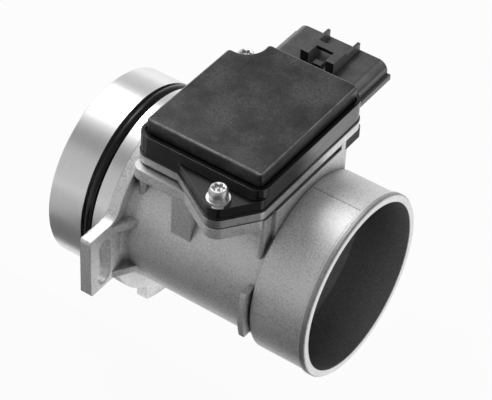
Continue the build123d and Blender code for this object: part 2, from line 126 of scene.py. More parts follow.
def rangeNode(tree, value, low, high, toLow=0.0, toHigh=1.0, smooth=True):
    node = tree.nodes.new("ShaderNodeMapRange")
    node.interpolation_type = "SMOOTHSTEP" if smooth else "LINEAR"
    plug(tree, value, node.inputs["Value"])
    node.inputs["From Min"].default_value = low
    node.inputs["From Max"].default_value = high
    node.inputs["To Min"].default_value = toLow
    node.inputs["To Max"].default_value = toHigh
    return node.outputs["Result"]


def along(tree, axis, start, end, toLow=0.0, toHigh=1.0, smooth=True):
    # range over a length, with its ends in millimetres
    return rangeNode(tree, axis, start * mm, end * mm, toLow, toHigh, smooth)


def mixed(tree, kind, factor, a, b):
    node = tree.nodes.new("ShaderNodeMix")
    node.data_type = kind
    plug(tree, factor, node.inputs["Factor"])
    plug(tree, a, node.inputs["A"])
    plug(tree, b, node.inputs["B"])
    return node.outputs["Result"]


def mixColour(tree, factor, a, b):
    return mixed(tree, "RGBA", factor, a, b)


def mixValue(tree, factor, a, b):
    return mixed(tree, "FLOAT", factor, a, b)


def objectPlace(tree):
    # position on the object, in metres
    return tree.nodes.new("ShaderNodeTexCoord").outputs["Object"]


def surfaceFacing(tree, normal):
    return tree.nodes.new("ShaderNodeNewGeometry").outputs[normal]


def axesOf(tree, vector):
    # its separate X, Y, Z
    split = tree.nodes.new("ShaderNodeSeparateXYZ")
    tree.links.new(vector, split.inputs[0])
    return split.outputs


def stretched(tree, place, scale):
    node = tree.nodes.new("ShaderNodeMapping")
    tree.links.new(place, node.inputs["Vector"])
    node.inputs["Scale"].default_value = scale
    return node.outputs[0]


def noise(tree, place, size, detail=3.0, rough=0.55):
    # size is the width of the pattern's blotches in millimetres
    node = tree.nodes.new("ShaderNodeTexNoise")
    tree.links.new(place, node.inputs["Vector"])
    node.inputs["Scale"].default_value = 1.0 / (size * mm)
    node.inputs["Detail"].default_value = detail
    node.inputs["Roughness"].default_value = rough
    return node.outputs["Fac"]


def specks(tree, place, size, share):
    # sparse round pits or dust, share is the radius of a speck in its cell
    node = tree.nodes.new("ShaderNodeTexVoronoi")
    tree.links.new(place, node.inputs["Vector"])
    node.inputs["Scale"].default_value = 1.0 / (size * mm)
    return rangeNode(tree, node.outputs["Distance"], share * coreShare, share, 1.0, 0.0)


def roundedEdges(tree, radius):
    # shading normal that rounds sharp edges, and a mask of where they are
    soft = tree.nodes.new("ShaderNodeBevel")
    soft.samples = softSamples
    plug(tree, radius, soft.inputs["Radius"])
    flat = tree.nodes.new("ShaderNodeNewGeometry")
    dot = tree.nodes.new("ShaderNodeVectorMath")
    dot.operation = "DOT_PRODUCT"
    tree.links.new(soft.outputs[0], dot.inputs[0])
    tree.links.new(flat.outputs["Normal"], dot.inputs[1])
    edge = rangeNode(tree, dot.outputs["Value"], *edgeSpan)
    return soft.outputs[0], edge


def bumpNode(tree, height, distance, strength, normal=None):
    node = tree.nodes.new("ShaderNodeBump")
    node.inputs["Distance"].default_value = distance * mm
    node.inputs["Strength"].default_value = strength
    tree.links.new(height, node.inputs["Height"])
    if normal is not None:
        tree.links.new(normal, node.inputs["Normal"])
    return node.outputs[0]


def grey(level, warm=0.0):
    return (level * (1 + warm), level, level * (1 - warm), 1.0)


def shadeColour(tree, shade, blue=None):
    # grey of the given shade, blue is the third channel where it differs
    tint = tree.nodes.new("ShaderNodeCombineColor")
    for channel, value in enumerate((shade, shade, shade if blue is None else blue)):
        tree.links.new(value, tint.inputs[channel])
    return tint.outputs[0]


# lengths in millimetres, a pair holds both ends of a soft limit, the seam's angle and width in radians
castLook = {
    "level": 0.90, "blotch": 0.24, "grain": 1.0, "rough": 0.56, "roughGrain": 0.5, "pit": 0.35,
    "edge": 0.95, "edgeRadius": 0.8, "wearSize": 1.6, "wearSpan": (0.3, 0.6), "wear": (0.35, 0.9),
    "paintedShadeDepth": 7.0, "paintedShadeSpan": (0.25, 0.9), "paintedHollowShade": 0.38, "blue": 1.005,
    "bump": 0.10, "bumpShare": 0.8, "fineHeight": 0.4, "pitHeight": -0.8,
}
turnedLook = {
    "level": 0.90, "lines": 0.20, "cloud": 0.06, "rough": 0.31, "roughLines": 0.08, "edgeRadius": 0.3,
    "height": 0.015, "spigot": (0.15, 0.25), "hoseFace": (89.9, 90.0), "hoseFaceShare": 0.40,
}
boreLook = {
    "level": 0.42, "blotch": 0.08, "grain": 0.42, "rough": 0.50, "calm": 0.75, "outward": (0.003, 0.008),
    "radius": (35.4, 35.6), "end": (89.6, 89.8), "bell": (-14.5, -12.5),
    "taper": (66.9, 68.1), "paintedTaperShade": (0.74, 0.88), "mouth": (72.0, 90.0), "paintedMouthLight": 1.5,
}
beadLook = {"start": (88.0, 88.15), "end": (89.85, 89.95), "dim": 0.45}
seatPad = {"x": (61.8, 62.0), "y": (22.9, 23.1), "z": (38.3, 38.5), "facing": (0.6, 0.8), "level": 0.02}
castSeam = {
    "angle": -0.004, "width": 0.008, "start": (66.0, 66.4), "end": (87.0, 87.2), "dim": 0.65, "height": 0.6,
    "gapSize": 1.1, "gapSpan": (0.32, 0.5), "gapFaint": 0.4,
}


def castZones(tree, axes):
    # masks of the machined parts, bore, hose bead and seat pad
    x, y, z = axes
    radius = mathNode(tree, "SQRT", mathNode(tree, "ADD", times(tree, y, y), times(tree, z, z)))
    turned = along(tree, x, *turnedLook["spigot"], 1.0, 0.0, smooth=False)
    hoseFace = along(tree, x, *turnedLook["hoseFace"], 0.0, turnedLook["hoseFaceShare"], smooth=False)
    turned = mathNode(tree, "MAXIMUM", turned, hoseFace)

    # the bore is inside the wall and doesn't face away from the axis
    facing = axesOf(tree, surfaceFacing(tree, "True Normal"))
    outward = mathNode(tree, "ADD", times(tree, facing[1], y), times(tree, facing[2], z))
    inRadius = along(tree, radius, *boreLook["radius"], 1.0, 0.0, smooth=False)
    inLength = along(tree, x, *boreLook["end"], 1.0, 0.0, smooth=False)
    bore = times(tree, inRadius, rangeNode(tree, outward, *boreLook["outward"], 1.0, 0.0), inLength)
    boreCast = times(tree, bore, along(tree, x, *boreLook["bell"]))

    bead = times(tree, along(tree, x, *beadLook["start"]), along(tree, x, *beadLook["end"], 1.0, 0.0))
    bead = times(tree, bead, unless(tree, bore))
    pad = rangeNode(tree, facing[0], *seatPad["facing"])
    for axis, key in ((y, "y"), (z, "z"), (x, "x")):
        pad = times(tree, pad, along(tree, axis, *seatPad[key]))
    return turned, boreCast, bead, pad


def partingLine(tree, place, axes):
    # broken line that the die leaves along the top of the hose tube
    x, y, z = axes
    angle = mathNode(tree, "ARCTAN2", y, z)
    away = mathNode(tree, "ABSOLUTE", mathNode(tree, "SUBTRACT", angle, castSeam["angle"]))
    seam = rangeNode(tree, away, castSeam["width"] * coreShare, castSeam["width"], 1.0, 0.0)
    gaps = noise(tree, stretched(tree, place, (1.0, 0.2, 0.2)), castSeam["gapSize"], detail=1.0)
    seam = times(tree, seam, along(tree, x, *castSeam["start"]), along(tree, x, *castSeam["end"], 1.0, 0.0))
    return times(tree, seam, rangeNode(tree, gaps, *castSeam["gapSpan"], castSeam["gapFaint"], 1.0))


def castAluminium():
    mat, tree, shader = newMaterial("castAluminium")
    place = objectPlace(tree)
    axes = axesOf(tree, place)
    turned, boreCast, bead, pad = castZones(tree, axes)

    # fine cast skin: broad blotches, sandy grain, a few pits
    blotches = noise(tree, place, size=14.0)
    grain = noise(tree, place, size=0.75, detail=2.0, rough=0.7)
    fine = noise(tree, place, size=0.30, detail=2.0, rough=0.6)
    pits = specks(tree, place, size=3.2, share=0.09)
    seam = partingLine(tree, place, axes)
    shade = varied(tree, blotches, castLook["blotch"], castLook["level"])
    shade = varied(tree, grain, castLook["grain"], shade)
    shade = dimmed(tree, shade, pits, castLook["pit"])
    shade = dimmed(tree, shade, seam, castSeam["dim"])

    # machined metal: fine lines round the axis
    lines = noise(tree, stretched(tree, place, (1.0, 0.02, 0.02)), size=0.12, rough=0.7)
    cloud = noise(tree, stretched(tree, place, (1.0, 0.35, 0.35)), size=6.0, detail=2.0)
    turnedShade = varied(tree, lines, turnedLook["lines"], turnedLook["level"])
    turnedShade = varied(tree, cloud, turnedLook["cloud"], turnedShade)

    # bore: dark metal, with painted shade inward of its taper and painted light growing toward the mouth
    boreShade = varied(tree, blotches, boreLook["blotch"], boreLook["level"])
    boreShade = varied(tree, grain, boreLook["grain"], boreShade)
    boreShade = times(tree, boreShade, along(tree, axes[0], *boreLook["taper"], *boreLook["paintedTaperShade"]))
    boreShade = times(tree, boreShade, along(tree, axes[0], *boreLook["mouth"], 1.0, boreLook["paintedMouthLight"]))
    shade = mixValue(tree, boreCast, shade, boreShade)

    # bright edges from wear, painted shade darkening the hollows
    edgeRadius = mixValue(tree, turned, castLook["edgeRadius"] * mm, turnedLook["edgeRadius"] * mm)
    softNormal, edge = roundedEdges(tree, edgeRadius)
    wear = noise(tree, place, castLook["wearSize"], detail=2.0)
    lighterEdges = times(tree, edge, rangeNode(tree, wear, *castLook["wearSpan"], *castLook["wear"]))
    lighterEdges = times(tree, lighterEdges, unless(tree, boreCast))
    shade = mixValue(tree, lighterEdges, shade, castLook["edge"])
    # painted shade: darker where near geometry hems the surface in
    hollow = tree.nodes.new("ShaderNodeAmbientOcclusion")
    hollow.samples = softSamples
    hollow.inputs["Distance"].default_value = castLook["paintedShadeDepth"] * mm
    paintedHollowShade = rangeNode(tree, hollow.outputs["AO"], *castLook["paintedShadeSpan"], castLook["paintedHollowShade"], 1.0)
    shade = times(tree, shade, mixValue(tree, boreCast, paintedHollowShade, 1.0))
    shade = mixValue(tree, turned, shade, turnedShade)
    shade = dimmed(tree, shade, bead, beadLook["dim"])
    shade = mixValue(tree, pad, shade, seatPad["level"])
    plug(tree, shadeColour(tree, shade, times(tree, shade, castLook["blue"])), shader.inputs["Base Color"])

    rough = varied(tree, grain, castLook["roughGrain"], castLook["rough"])
    rough = mixValue(tree, boreCast, rough, boreLook["rough"])
    turnedRough = varied(tree, lines, turnedLook["roughLines"], turnedLook["rough"])
    plug(tree, mixValue(tree, turned, rough, turnedRough), shader.inputs["Roughness"])
    plug(tree, unless(tree, pad), shader.inputs["Metallic"])

    height = mathNode(tree, "MULTIPLY_ADD", fine, castLook["fineHeight"], grain)
    height = mathNode(tree, "MULTIPLY_ADD", pits, castLook["pitHeight"], height)
    height = mathNode(tree, "MULTIPLY_ADD", seam, castSeam["height"], height)
    height = times(tree, height, dimmed(tree, unless(tree, turned), boreCast, boreLook["calm"]))
    height = mathNode(tree, "ADD", height, times(tree, lines, turned, turnedLook["height"]))
    bump = bumpNode(tree, height, castLook["bump"], castLook["bumpShare"], softNormal)
    plug(tree, bump, shader.inputs["Normal"])
    return mat


plasticBasics = {
    "cloudSize": 9.0, "cloudSpan": (0.34, 0.66), "fineSize": 0.45, "fineShare": 0.8, "roughMottle": 0.1,
    "specular": 0.5, "smear": 0.16, "dust": 0.8, "dustAdd": 0.01, "bump": 0.05, "bumpShare": 0.6,
    "edge": 0.06, "edgeRadius": 0.28, "edgeShare": 0.6, "rising": (0.45, 0.7), "levelTop": (0.93, 0.99),
    "wearSize": 5.0, "wearSpan": (0.35, 0.6), "wearLeast": 0.55, "wearShare": 0.8,
    "hoseSide": (0.8, 0.95), "nearSide": (-0.95, -0.8),
}
caseLook = {
    "level": 0.004, "mottle": 0.3, "rough": 0.22, "grain": 0.03, "specular": 0.65, "edge": 0.13,
    "wall": 0.038, "plugFrom": (33.8, 34.2), "plugLevel": 0.095, "plugRough": 0.36, "plugEdge": 0.30,
    "plugMottle": 0.3, "plugUp": (0.1, 0.85), "paintedPlugSideShade": 0.12,
    "paintedWallSheen": 0.42, "sheenStart": (-14, 2), "sheenFade": (8, 30), "sheenFar": 0.65, "sheenStreaks": (0.72, 0.95),
    "floorLow": (50.6, 50.7), "floorHigh": (53.5, 53.6), "floorUp": (0.7, 0.95), "floorRough": 0.36,
    "floorGrain": 0.5,
    "pin": (36.5, -36.5, 53.3), "pinRadius": 1.3, "pinLine": (0.06, 0.18), "pinHeight": 1.5,
}
# the lid's light edge colour is mostly a painted highlight on its rounded top edges, with some wear
lidLook = {
    "level": 0.034, "mottle": 0.75, "rough": 0.36, "roughMottle": 0.4, "grain": 0.35, "specular": 0.55,
    "edge": 0.42, "cloudSize": 15.0, "fineSize": 0.8, "skirt": 0.07, "skirtTop": (60.6, 60.9), "wall": 0.03,
}
chipLook = {"level": 0.02, "mottle": 0.2, "rough": 0.5, "grain": 0.2}
glazeLook = {"level": 0.3, "mottle": 0.2, "rough": 0.2, "grain": 0.05}


def mouldedPlastic(name, ownLook, case=False):
    # case adds what only the circuit case has: dull connector, rubbed wall, textured ear floors
    look = {**plasticBasics, **ownLook}
    mat, tree, shader = newMaterial(name)
    place = objectPlace(tree)
    axes = axesOf(tree, place)
    y, z = axes[1], axes[2]
    clouds = noise(tree, place, look["cloudSize"], detail=6.0, rough=0.62)
    smears = noise(tree, stretched(tree, place, (1.0, 0.12, 1.0)), size=1.2)
    fine = noise(tree, place, look["fineSize"], detail=2.0, rough=0.65)
    dust = specks(tree, place, size=2.4, share=0.07)
    softNormal, edge = roundedEdges(tree, look["edgeRadius"] * mm)
    facing = axesOf(tree, surfaceFacing(tree, "Normal"))
    upward = facing[2]

    # light line on the upper edges: wear on sharp edges, and a painted highlight on the round part that
    # slopes upward
    paintedRimHighlight = rangeNode(tree, upward, *look["rising"])
    paintedRimHighlight = times(tree, paintedRimHighlight, rangeNode(tree, upward, *look["levelTop"], 1.0, 0.0))
    lighterEdges = mathNode(tree, "MAXIMUM", times(tree, edge, look["edgeShare"]), paintedRimHighlight)
    wear = noise(tree, place, look["wearSize"], detail=2.0)
    lighterEdges = times(tree, lighterEdges, rangeNode(tree, wear, *look["wearSpan"], look["wearLeast"], 1.0))

    level = look["level"]
    mottle = look["mottle"]
    fineMottle = mottle * look["fineShare"]
    shade = rangeNode(tree, clouds, *look["cloudSpan"], level * (1 - mottle), level * (1 + mottle))
    shade = times(tree, shade, rangeNode(tree, fine, *patternSpan, 1 - fineMottle, 1 + fineMottle))
    rough = varied(tree, smears, look["smear"], look["rough"])
    rough = varied(tree, clouds, look["roughMottle"], rough)
    height = times(tree, fine, look["grain"])
    edgeShade = look["edge"]
    hoseSide = rangeNode(tree, facing[0], *look["hoseSide"])
    # painted reflection: the lower band of the wall facing the hose is lighter
    if "skirt" in look:
        skirt = times(tree, hoseSide, along(tree, z, *look["skirtTop"], 1.0, 0.0))
        shade = mathNode(tree, "MULTIPLY_ADD", skirt, look["skirt"], shade)
    # painted light: faces turned to the near side are a little lighter
    if "wall" in look:
        paintedNearWallLight = rangeNode(tree, facing[1], *look["nearSide"], look["wall"], 0.0)
        shade = mathNode(tree, "ADD", shade, paintedNearWallLight)
    if case:
        # dull grey connector, with painted light: what faces up is lighter than its sides
        plugPart = along(tree, y, *look["plugFrom"])
        low, high = (look["plugLevel"] * (1 + side * look["plugMottle"]) for side in (-1, 1))
        plugShade = rangeNode(tree, clouds, *patternSpan, low, high)
        plugShade = times(tree, plugShade, rangeNode(tree, upward, *look["plugUp"], look["paintedPlugSideShade"], 1.0))
        shade = mixValue(tree, plugPart, shade, plugShade)
        rough = mixValue(tree, plugPart, rough, look["plugRough"])
        edgeShade = mixValue(tree, plugPart, edgeShade, look["plugEdge"])

        # painted reflection: a streaky lighter band on the wall toward the hose, fainter toward the far end
        paintedSheen = times(tree, hoseSide, along(tree, y, *look["sheenStart"]))
        paintedSheen = times(tree, paintedSheen, along(tree, y, *look["sheenFade"], 1.0, look["sheenFar"]))
        paintedSheen = times(tree, paintedSheen, rangeNode(tree, smears, *patternSpan, *look["sheenStreaks"]))
        shade = mathNode(tree, "MULTIPLY_ADD", paintedSheen, look["paintedWallSheen"], shade)

        # sparkling ear floors, and the round mark of the mould's ejector pin
        floorPart = along(tree, z, *look["floorLow"])
        floorPart = times(tree, floorPart, along(tree, z, *look["floorHigh"], 1.0, 0.0))
        floorPart = times(tree, floorPart, rangeNode(tree, upward, *look["floorUp"]))
        pin = tree.nodes.new("ShaderNodeVectorMath")
        pin.operation = "DISTANCE"
        tree.links.new(place, pin.inputs[0])
        pin.inputs[1].default_value = [k * mm for k in look["pin"]]
        offRing = mathNode(tree, "SUBTRACT", pin.outputs["Value"], look["pinRadius"] * mm)
        offRing = mathNode(tree, "ABSOLUTE", offRing)
        pinRing = times(tree, floorPart, along(tree, offRing, *look["pinLine"], 1.0, 0.0))
        spark = noise(tree, place, size=0.5, detail=2.0, rough=0.7)
        height = mathNode(tree, "ADD", height, times(tree, floorPart, times(tree, spark, look["floorGrain"])))
        height = mathNode(tree, "MULTIPLY_ADD", pinRing, look["pinHeight"], height)
        rough = mixValue(tree, floorPart, rough, look["floorRough"])
    dustShade = level * look["dust"] + look["dustAdd"]
    shade = mathNode(tree, "MULTIPLY_ADD", dust, dustShade, shade)
    shade = mixValue(tree, times(tree, lighterEdges, look["wearShare"]), shade, edgeShade)
    plug(tree, shadeColour(tree, shade), shader.inputs["Base Color"])
    shader.inputs["Specular IOR Level"].default_value = look["specular"]
    plug(tree, rough, shader.inputs["Roughness"])
    bump = bumpNode(tree, height, look["bump"], look["bumpShare"], softNormal)
    plug(tree, bump, shader.inputs["Normal"])
    return mat


rubberLook = {"dark": 0.7, "light": 1.4, "dust": 3.0, "dustAdd": 0.03, "dustShare": 0.4, "roughCloud": 0.2}


def darkRubber(name, level, roughness, specular=0.5):
    mat, tree, shader = newMaterial(name)
    place = objectPlace(tree)
    clouds = noise(tree, place, size=5.0)
    fine = noise(tree, place, size=0.25, detail=2.0)
    dust = times(tree, specks(tree, place, size=1.7, share=0.06), rubberLook["dustShare"])
    dark, light = grey(level * rubberLook["dark"]), grey(level * rubberLook["light"])
    colour = mixColour(tree, rangeNode(tree, clouds, *patternSpan), dark, light)
    colour = mixColour(tree, dust, colour, grey(level * rubberLook["dust"] + rubberLook["dustAdd"]))
    plug(tree, colour, shader.inputs["Base Color"])
    plug(tree, varied(tree, clouds, rubberLook["roughCloud"], roughness), shader.inputs["Roughness"])
    plug(tree, bumpNode(tree, fine, distance=0.03, strength=0.25), shader.inputs["Normal"])
    shader.inputs["Specular IOR Level"].default_value = specular
    return mat


metalLook = {
    "dark": 0.82, "scratch": 0.6, "scratchSpan": (0.55, 0.8), "scratchShare": 0.25,
    "edge": 1.15, "edgeMost": 0.95, "edgeShare": 0.8, "roughLines": 0.2,
}


def brightMetal(name, level, roughness, warm=0.0, lineScale=(1.0, 1.0, 1.0), edgeRadius=0.2):
    mat, tree, shader = newMaterial(name)
    place = objectPlace(tree)
    clouds = noise(tree, place, size=2.2)
    lines = noise(tree, stretched(tree, place, lineScale), size=0.16, rough=0.65)
    softNormal, edge = roundedEdges(tree, edgeRadius * mm)
    dark = grey(level * metalLook["dark"], warm)
    colour = mixColour(tree, rangeNode(tree, clouds, *patternSpan), dark, grey(level, warm))
    scratches = times(tree, rangeNode(tree, lines, *metalLook["scratchSpan"]), metalLook["scratchShare"])
    colour = mixColour(tree, scratches, colour, grey(level * metalLook["scratch"], warm))
    edgeTint = grey(min(level * metalLook["edge"], metalLook["edgeMost"]), warm)
    colour = mixColour(tree, times(tree, edge, metalLook["edgeShare"]), colour, edgeTint)
    plug(tree, colour, shader.inputs["Base Color"])
    plug(tree, varied(tree, lines, metalLook["roughLines"], roughness), shader.inputs["Roughness"])
    shader.inputs["Metallic"].default_value = 1.0
    bump = bumpNode(tree, lines, distance=0.02, strength=0.35, normal=softNormal)
    plug(tree, bump, shader.inputs["Normal"])
    return mat


boardLook = {
    "scale": 320.0, "gap": 0.06, "trace": (0.02, 0.09, 0.04, 1), "otherTrace": (0.03, 0.12, 0.055, 1),
    "edge": (0.10, 0.22, 0.11, 1), "weave": (0.02, 0.07, 0.03, 1), "weaveShare": 0.4,
    "rough": 0.25, "roughWeave": 0.2,
}


def boardLaminate():
    mat, tree, shader = newMaterial("boardLaminate")
    place = objectPlace(tree)
    traces = tree.nodes.new("ShaderNodeTexBrick")
    traces.inputs["Scale"].default_value = boardLook["scale"]
    traces.inputs["Mortar Size"].default_value = boardLook["gap"]
    traces.inputs["Color1"].default_value = boardLook["trace"]
    traces.inputs["Color2"].default_value = boardLook["otherTrace"]
    traces.inputs["Mortar"].default_value = boardLook["edge"]
    tree.links.new(place, traces.inputs["Vector"])
    weave = noise(tree, place, size=0.4, detail=2.0)
    threads = rangeNode(tree, weave, *patternSpan, 0.0, boardLook["weaveShare"])
    colour = mixColour(tree, threads, traces.outputs["Color"], boardLook["weave"])
    plug(tree, colour, shader.inputs["Base Color"])
    rough = mathNode(tree, "MULTIPLY_ADD", weave, boardLook["roughWeave"], boardLook["rough"])
    plug(tree, rough, shader.inputs["Roughness"])
    plug(tree, bumpNode(tree, weave, distance=0.02, strength=0.4), shader.inputs["Normal"])
    return mat


looks = {
    "cast_aluminium": castAluminium(),
    "seal_rubber": darkRubber("sealRubber", level=0.006, roughness=0.22),
    "base_metal": brightMetal("baseMetal", 0.86, 0.36, lineScale=(0.1, 1.0, 1.0), edgeRadius=0.45),
    "case_plastic": mouldedPlastic("casePlastic", caseLook, case=True),
    "cover_plastic": mouldedPlastic("coverPlastic", lidLook),
    "sealant": darkRubber("potSealant", level=0.004, roughness=0.6, specular=0.12),
    "board": boardLaminate(),
    "chip": mouldedPlastic("chipMoulding", chipLook),
    "can_metal": brightMetal("canMetal", 0.78, 0.25),
    "terminal_metal": brightMetal("terminalBrass", 0.62, 0.28, warm=0.22, lineScale=(1.0, 0.1, 1.0)),
    "pin_steel": brightMetal("pinSteel", 0.6, 0.3, lineScale=(1.0, 1.0, 0.1)),
    "element_glaze": mouldedPlastic("elementGlaze", glazeLook),
    "fastener_steel": brightMetal("fastenerSteel", 0.88, 0.42, edgeRadius=0.12),
    "tab_steel": brightMetal("tabSteel", 0.94, 0.50, lineScale=(1.0, 0.15, 1.0)),
}
slotOfNode = {part["node"]: part["material_slot"] for part in frame["record"]["subparts"]}
for name, obj in nodes.items():
    obj.data.materials.clear()
    obj.data.materials.append(looks[slotOfNode[name]])
print("materials made,", len(looks))


def addObject(name, bm):
    # the bmesh becomes an object of the scene
    mesh = bpy.data.meshes.new(name)
    bm.to_mesh(mesh)
    bm.free()
    made = bpy.data.objects.new(name, mesh)
    bpy.context.scene.collection.objects.link(made)
    return made


# in metres
floorSpec = {
    "size": 6.0, "middle": (0.03, 0.0), "drop": 0.0002, "level": 0.86, "rough": 0.8,
    "toCamera": 0.95, "toMirrors": 0.8,
}


def makeFloor():
    bm = bmesh.new()
    bmesh.ops.create_grid(bm, x_segments=1, y_segments=1, size=floorSpec["size"] / 2)
    bmesh.ops.translate(bm, verts=bm.verts, vec=(*floorSpec["middle"], cadLow.z - floorSpec["drop"]))
    floor = addObject("studioFloor", bm)

    # mostly white to the camera and to mirrors, so the backdrop stays white
    mat, tree, shader = newMaterial("floorPaper")
    shader.inputs["Base Color"].default_value = grey(floorSpec["level"])
    shader.inputs["Roughness"].default_value = floorSpec["rough"]
    glow = tree.nodes.new("ShaderNodeEmission")
    glow.inputs["Strength"].default_value = 1.0
    rays = tree.nodes.new("ShaderNodeLightPath")
    share = mathNode(tree, "MAXIMUM", times(tree, rays.outputs["Is Camera Ray"], floorSpec["toCamera"]),
                     times(tree, rays.outputs["Is Glossy Ray"], floorSpec["toMirrors"]))
    mixer = tree.nodes.new("ShaderNodeMixShader")
    out = [n for n in tree.nodes if n.type == "OUTPUT_MATERIAL"][0]
    tree.links.new(share, mixer.inputs[0])
    tree.links.new(shader.outputs[0], mixer.inputs[1])
    tree.links.new(glow.outputs[0], mixer.inputs[2])
    tree.links.new(mixer.outputs[0], out.inputs["Surface"])
    floor.data.materials.append(mat)


makeFloor()


def newPiece(name, bm, slot, smoothAngle, *stands):
    bmesh.ops.recalc_face_normals(bm, faces=list(bm.faces))
    piece = addObject(name, bm)
    for polygon in piece.data.polygons:
        polygon.use_smooth = True
    piece.data.set_sharp_from_angle(angle=math.radians(smoothAngle))
    piece.data.materials.append(looks[slot])
    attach(piece, "root")
    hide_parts(*stands)


# screws: six-sided head with a rounded rim and a six-lobed recess with a pin in it
screwSpec = {
    "corner": 3.66, "softening": 0.985, "flat": 3.34, "hexHeight": 2.15, "neck": 3.3, "neckHeight": 0.45,
    "crown": 3.14, "height": 3.4, "rim": 0.42, "rimSteps": 4, "dish": 0.15,
    "lobe": 2.42, "flank": 0.93, "valley": 1.62, "depth": 1.0,
    "draft": 0.12, "draftLobe": 0.96, "draftFlank": 0.88, "draftValley": 0.97,
    "pinRadius": 0.55, "pinHeight": 0.8, "pinTip": 0.12, "pinTaper": 0.7,
    "shank": 1.95, "shankTip": 0.4, "shankTaper": 0.8, "washers": 2.0, "turn": 33.0,
}
screwPlaces = {
    "near": {"at": (52.2, -41.3), "seat": earFloors["near"] + tabThickness},
    "far": {"at": (14.6, 29.2), "seat": earFloors["far"]},
}
segments = 24


def ringRadius(bm, verts, radii):
    # sets each vert's distance from the Z axis, radii repeat round the ring
    for vert in verts:
        turn = round(math.degrees(math.atan2(vert.co.y, vert.co.x)) / (360 / segments)) % segments
        grow = radii[turn % len(radii)] / vert.co.xy.length
        bmesh.ops.scale(bm, vec=(grow, grow, 1.0), verts=[vert])


def pushed(bm, face, up, radii=None, closed=True):
    # moves the face along Z with walls behind it, then gives its ring new radii
    out = bmesh.ops.extrude_face_region(bm, geom=[face])["geom"]
    if closed:
        bmesh.ops.delete(bm, geom=[face], context="FACES_ONLY")
    verts = [v for v in out if isinstance(v, bmesh.types.BMVert)]
    bmesh.ops.translate(bm, verts=verts, vec=(0.0, 0.0, up))
    if radii:
        ringRadius(bm, verts, radii)
    return [f for f in out if isinstance(f, bmesh.types.BMFace)][0]


def faceHeight(face):
    return round(face.calc_center_median().z, 3)


def placed(bm, turn, at, height):
    # turned about Z, moved to its place in millimetres, then brought to metres
    bmesh.ops.rotate(bm, verts=bm.verts, matrix=Matrix.Rotation(math.radians(turn), 3, "Z"))
    bmesh.ops.translate(bm, verts=bm.verts, vec=(at[0], at[1], height))
    bmesh.ops.scale(bm, verts=bm.verts, vec=(mm, mm, mm))


def makeScrew(name, spot):
    spec = screwSpec
    bm = bmesh.new()
    bmesh.ops.create_circle(bm, cap_ends=True, segments=segments, radius=spec["corner"])
    bm.faces.ensure_lookup_table()
    bm.normal_update()
    base = bm.faces[0]
    if base.normal.z < 0:
        bmesh.ops.reverse_faces(bm, faces=[base])
    shoulder = spec["flat"] / math.cos(math.radians(360 / segments))
    corner = spec["corner"] * spec["softening"]
    ringRadius(bm, list(bm.verts), (corner, shoulder, spec["flat"], shoulder))
    top = pushed(bm, base, spec["hexHeight"], closed=False)
    top = pushed(bm, top, spec["neckHeight"], (spec["neck"],))
    top = pushed(bm, top, spec["height"] - spec["hexHeight"] - spec["neckHeight"], (spec["crown"],))

    # rounded rim, then the recess and its pin
    bmesh.ops.bevel(bm, geom=list(top.edges), offset=spec["rim"], offset_type="OFFSET", affect="EDGES",
                    segments=spec["rimSteps"], profile=0.5, material=-1)
    top = max(bm.faces, key=lambda face: (faceHeight(face), face.calc_area()))
    tip, flank, valley = spec["lobe"], spec["lobe"] * spec["flank"], spec["valley"]
    inner = pushed(bm, top, -spec["dish"], (tip, flank, valley, flank))
    flank = tip * spec["draftFlank"]
    drafted = (tip * spec["draftLobe"], flank, valley * spec["draftValley"], flank)
    inner = pushed(bm, inner, -spec["draft"], drafted)
    inner = pushed(bm, inner, -spec["depth"])
    inner = pushed(bm, inner, 0.0, (spec["pinRadius"],))
    inner = pushed(bm, inner, spec["pinHeight"])
    pushed(bm, inner, spec["pinTip"], (spec["pinRadius"] * spec["pinTaper"],))

    # shank down to the casting
    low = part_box("module_screw_" + name)[0].z / mm
    head = spot["seat"] + spec["washers"]
    under = min(bm.faces, key=lambda face: (faceHeight(face), -face.calc_area()))
    under = pushed(bm, under, 0.0, (spec["shank"],))
    under = pushed(bm, under, low - head + spec["shankTip"])
    pushed(bm, under, -spec["shankTip"], (spec["shank"] * spec["shankTaper"],))

    placed(bm, spec["turn"], spot["at"], head)
    newPiece("lobedScrew_" + name, bm, "fastener_steel", 32.0, "module_screw_" + name)


for name, spot in screwPlaces.items():
    makeScrew(name, spot)

# tab washer whose tongue comes out toward the tip of the ear
tabSpec = {"hole": 2.15, "radius": 4.5, "width": 4.4, "reach": 5.35, "steps": 96, "turn": -57.0}


def makeTab():
    spec = tabSpec
    bm = bmesh.new()
    bmesh.ops.create_circle(bm, segments=spec["steps"], radius=spec["hole"])
    ring = bmesh.ops.extrude_edge_only(bm, edges=list(bm.edges))["geom"]
    outer = [v for v in ring if isinstance(v, bmesh.types.BMVert)]
    grow = spec["radius"] / spec["hole"]
    bmesh.ops.scale(bm, vec=(grow, grow, 1.0), verts=outer)
    for vert in outer:
        if vert.co.x > 0 and abs(vert.co.y) <= spec["width"] / 2:
            end = math.sqrt(spec["reach"] ** 2 - vert.co.y ** 2)
            bmesh.ops.translate(bm, verts=[vert], vec=(end - vert.co.x, 0.0, 0.0))
    bmesh.ops.solidify(bm, geom=list(bm.faces), thickness=tabThickness)
    lowest = min(v.co.z for v in bm.verts)
    placed(bm, spec["turn"], screwPlaces["near"]["at"], earFloors["near"] - lowest)
    newPiece("tongueWasher", bm, "tab_steel", 30.0, "earth_tab")


makeTab()
print("screws and tab washer made")

# cards on the table at the near side, unseen by the camera, for the dark reflections, in metres
cards = {
    # the near card is a painted shadow of the object on the table, for the metal to reflect
    "nearCard": {"x": (-0.14, 0.24), "y": (-0.085, -0.036), "level": 0.24},
    "frontStrip": {"x": (-0.060, 0.50), "y": (-0.105, -0.085), "level": 0.50},
    "leftCard": {"x": (-0.60, -0.060), "y": (-0.60, -0.085), "level": 0.80},
    "farCard": {"x": (-0.060, 0.50), "y": (-0.60, -0.105), "level": 0.03},
}
cardLift = 0.001
cardRough = 0.9


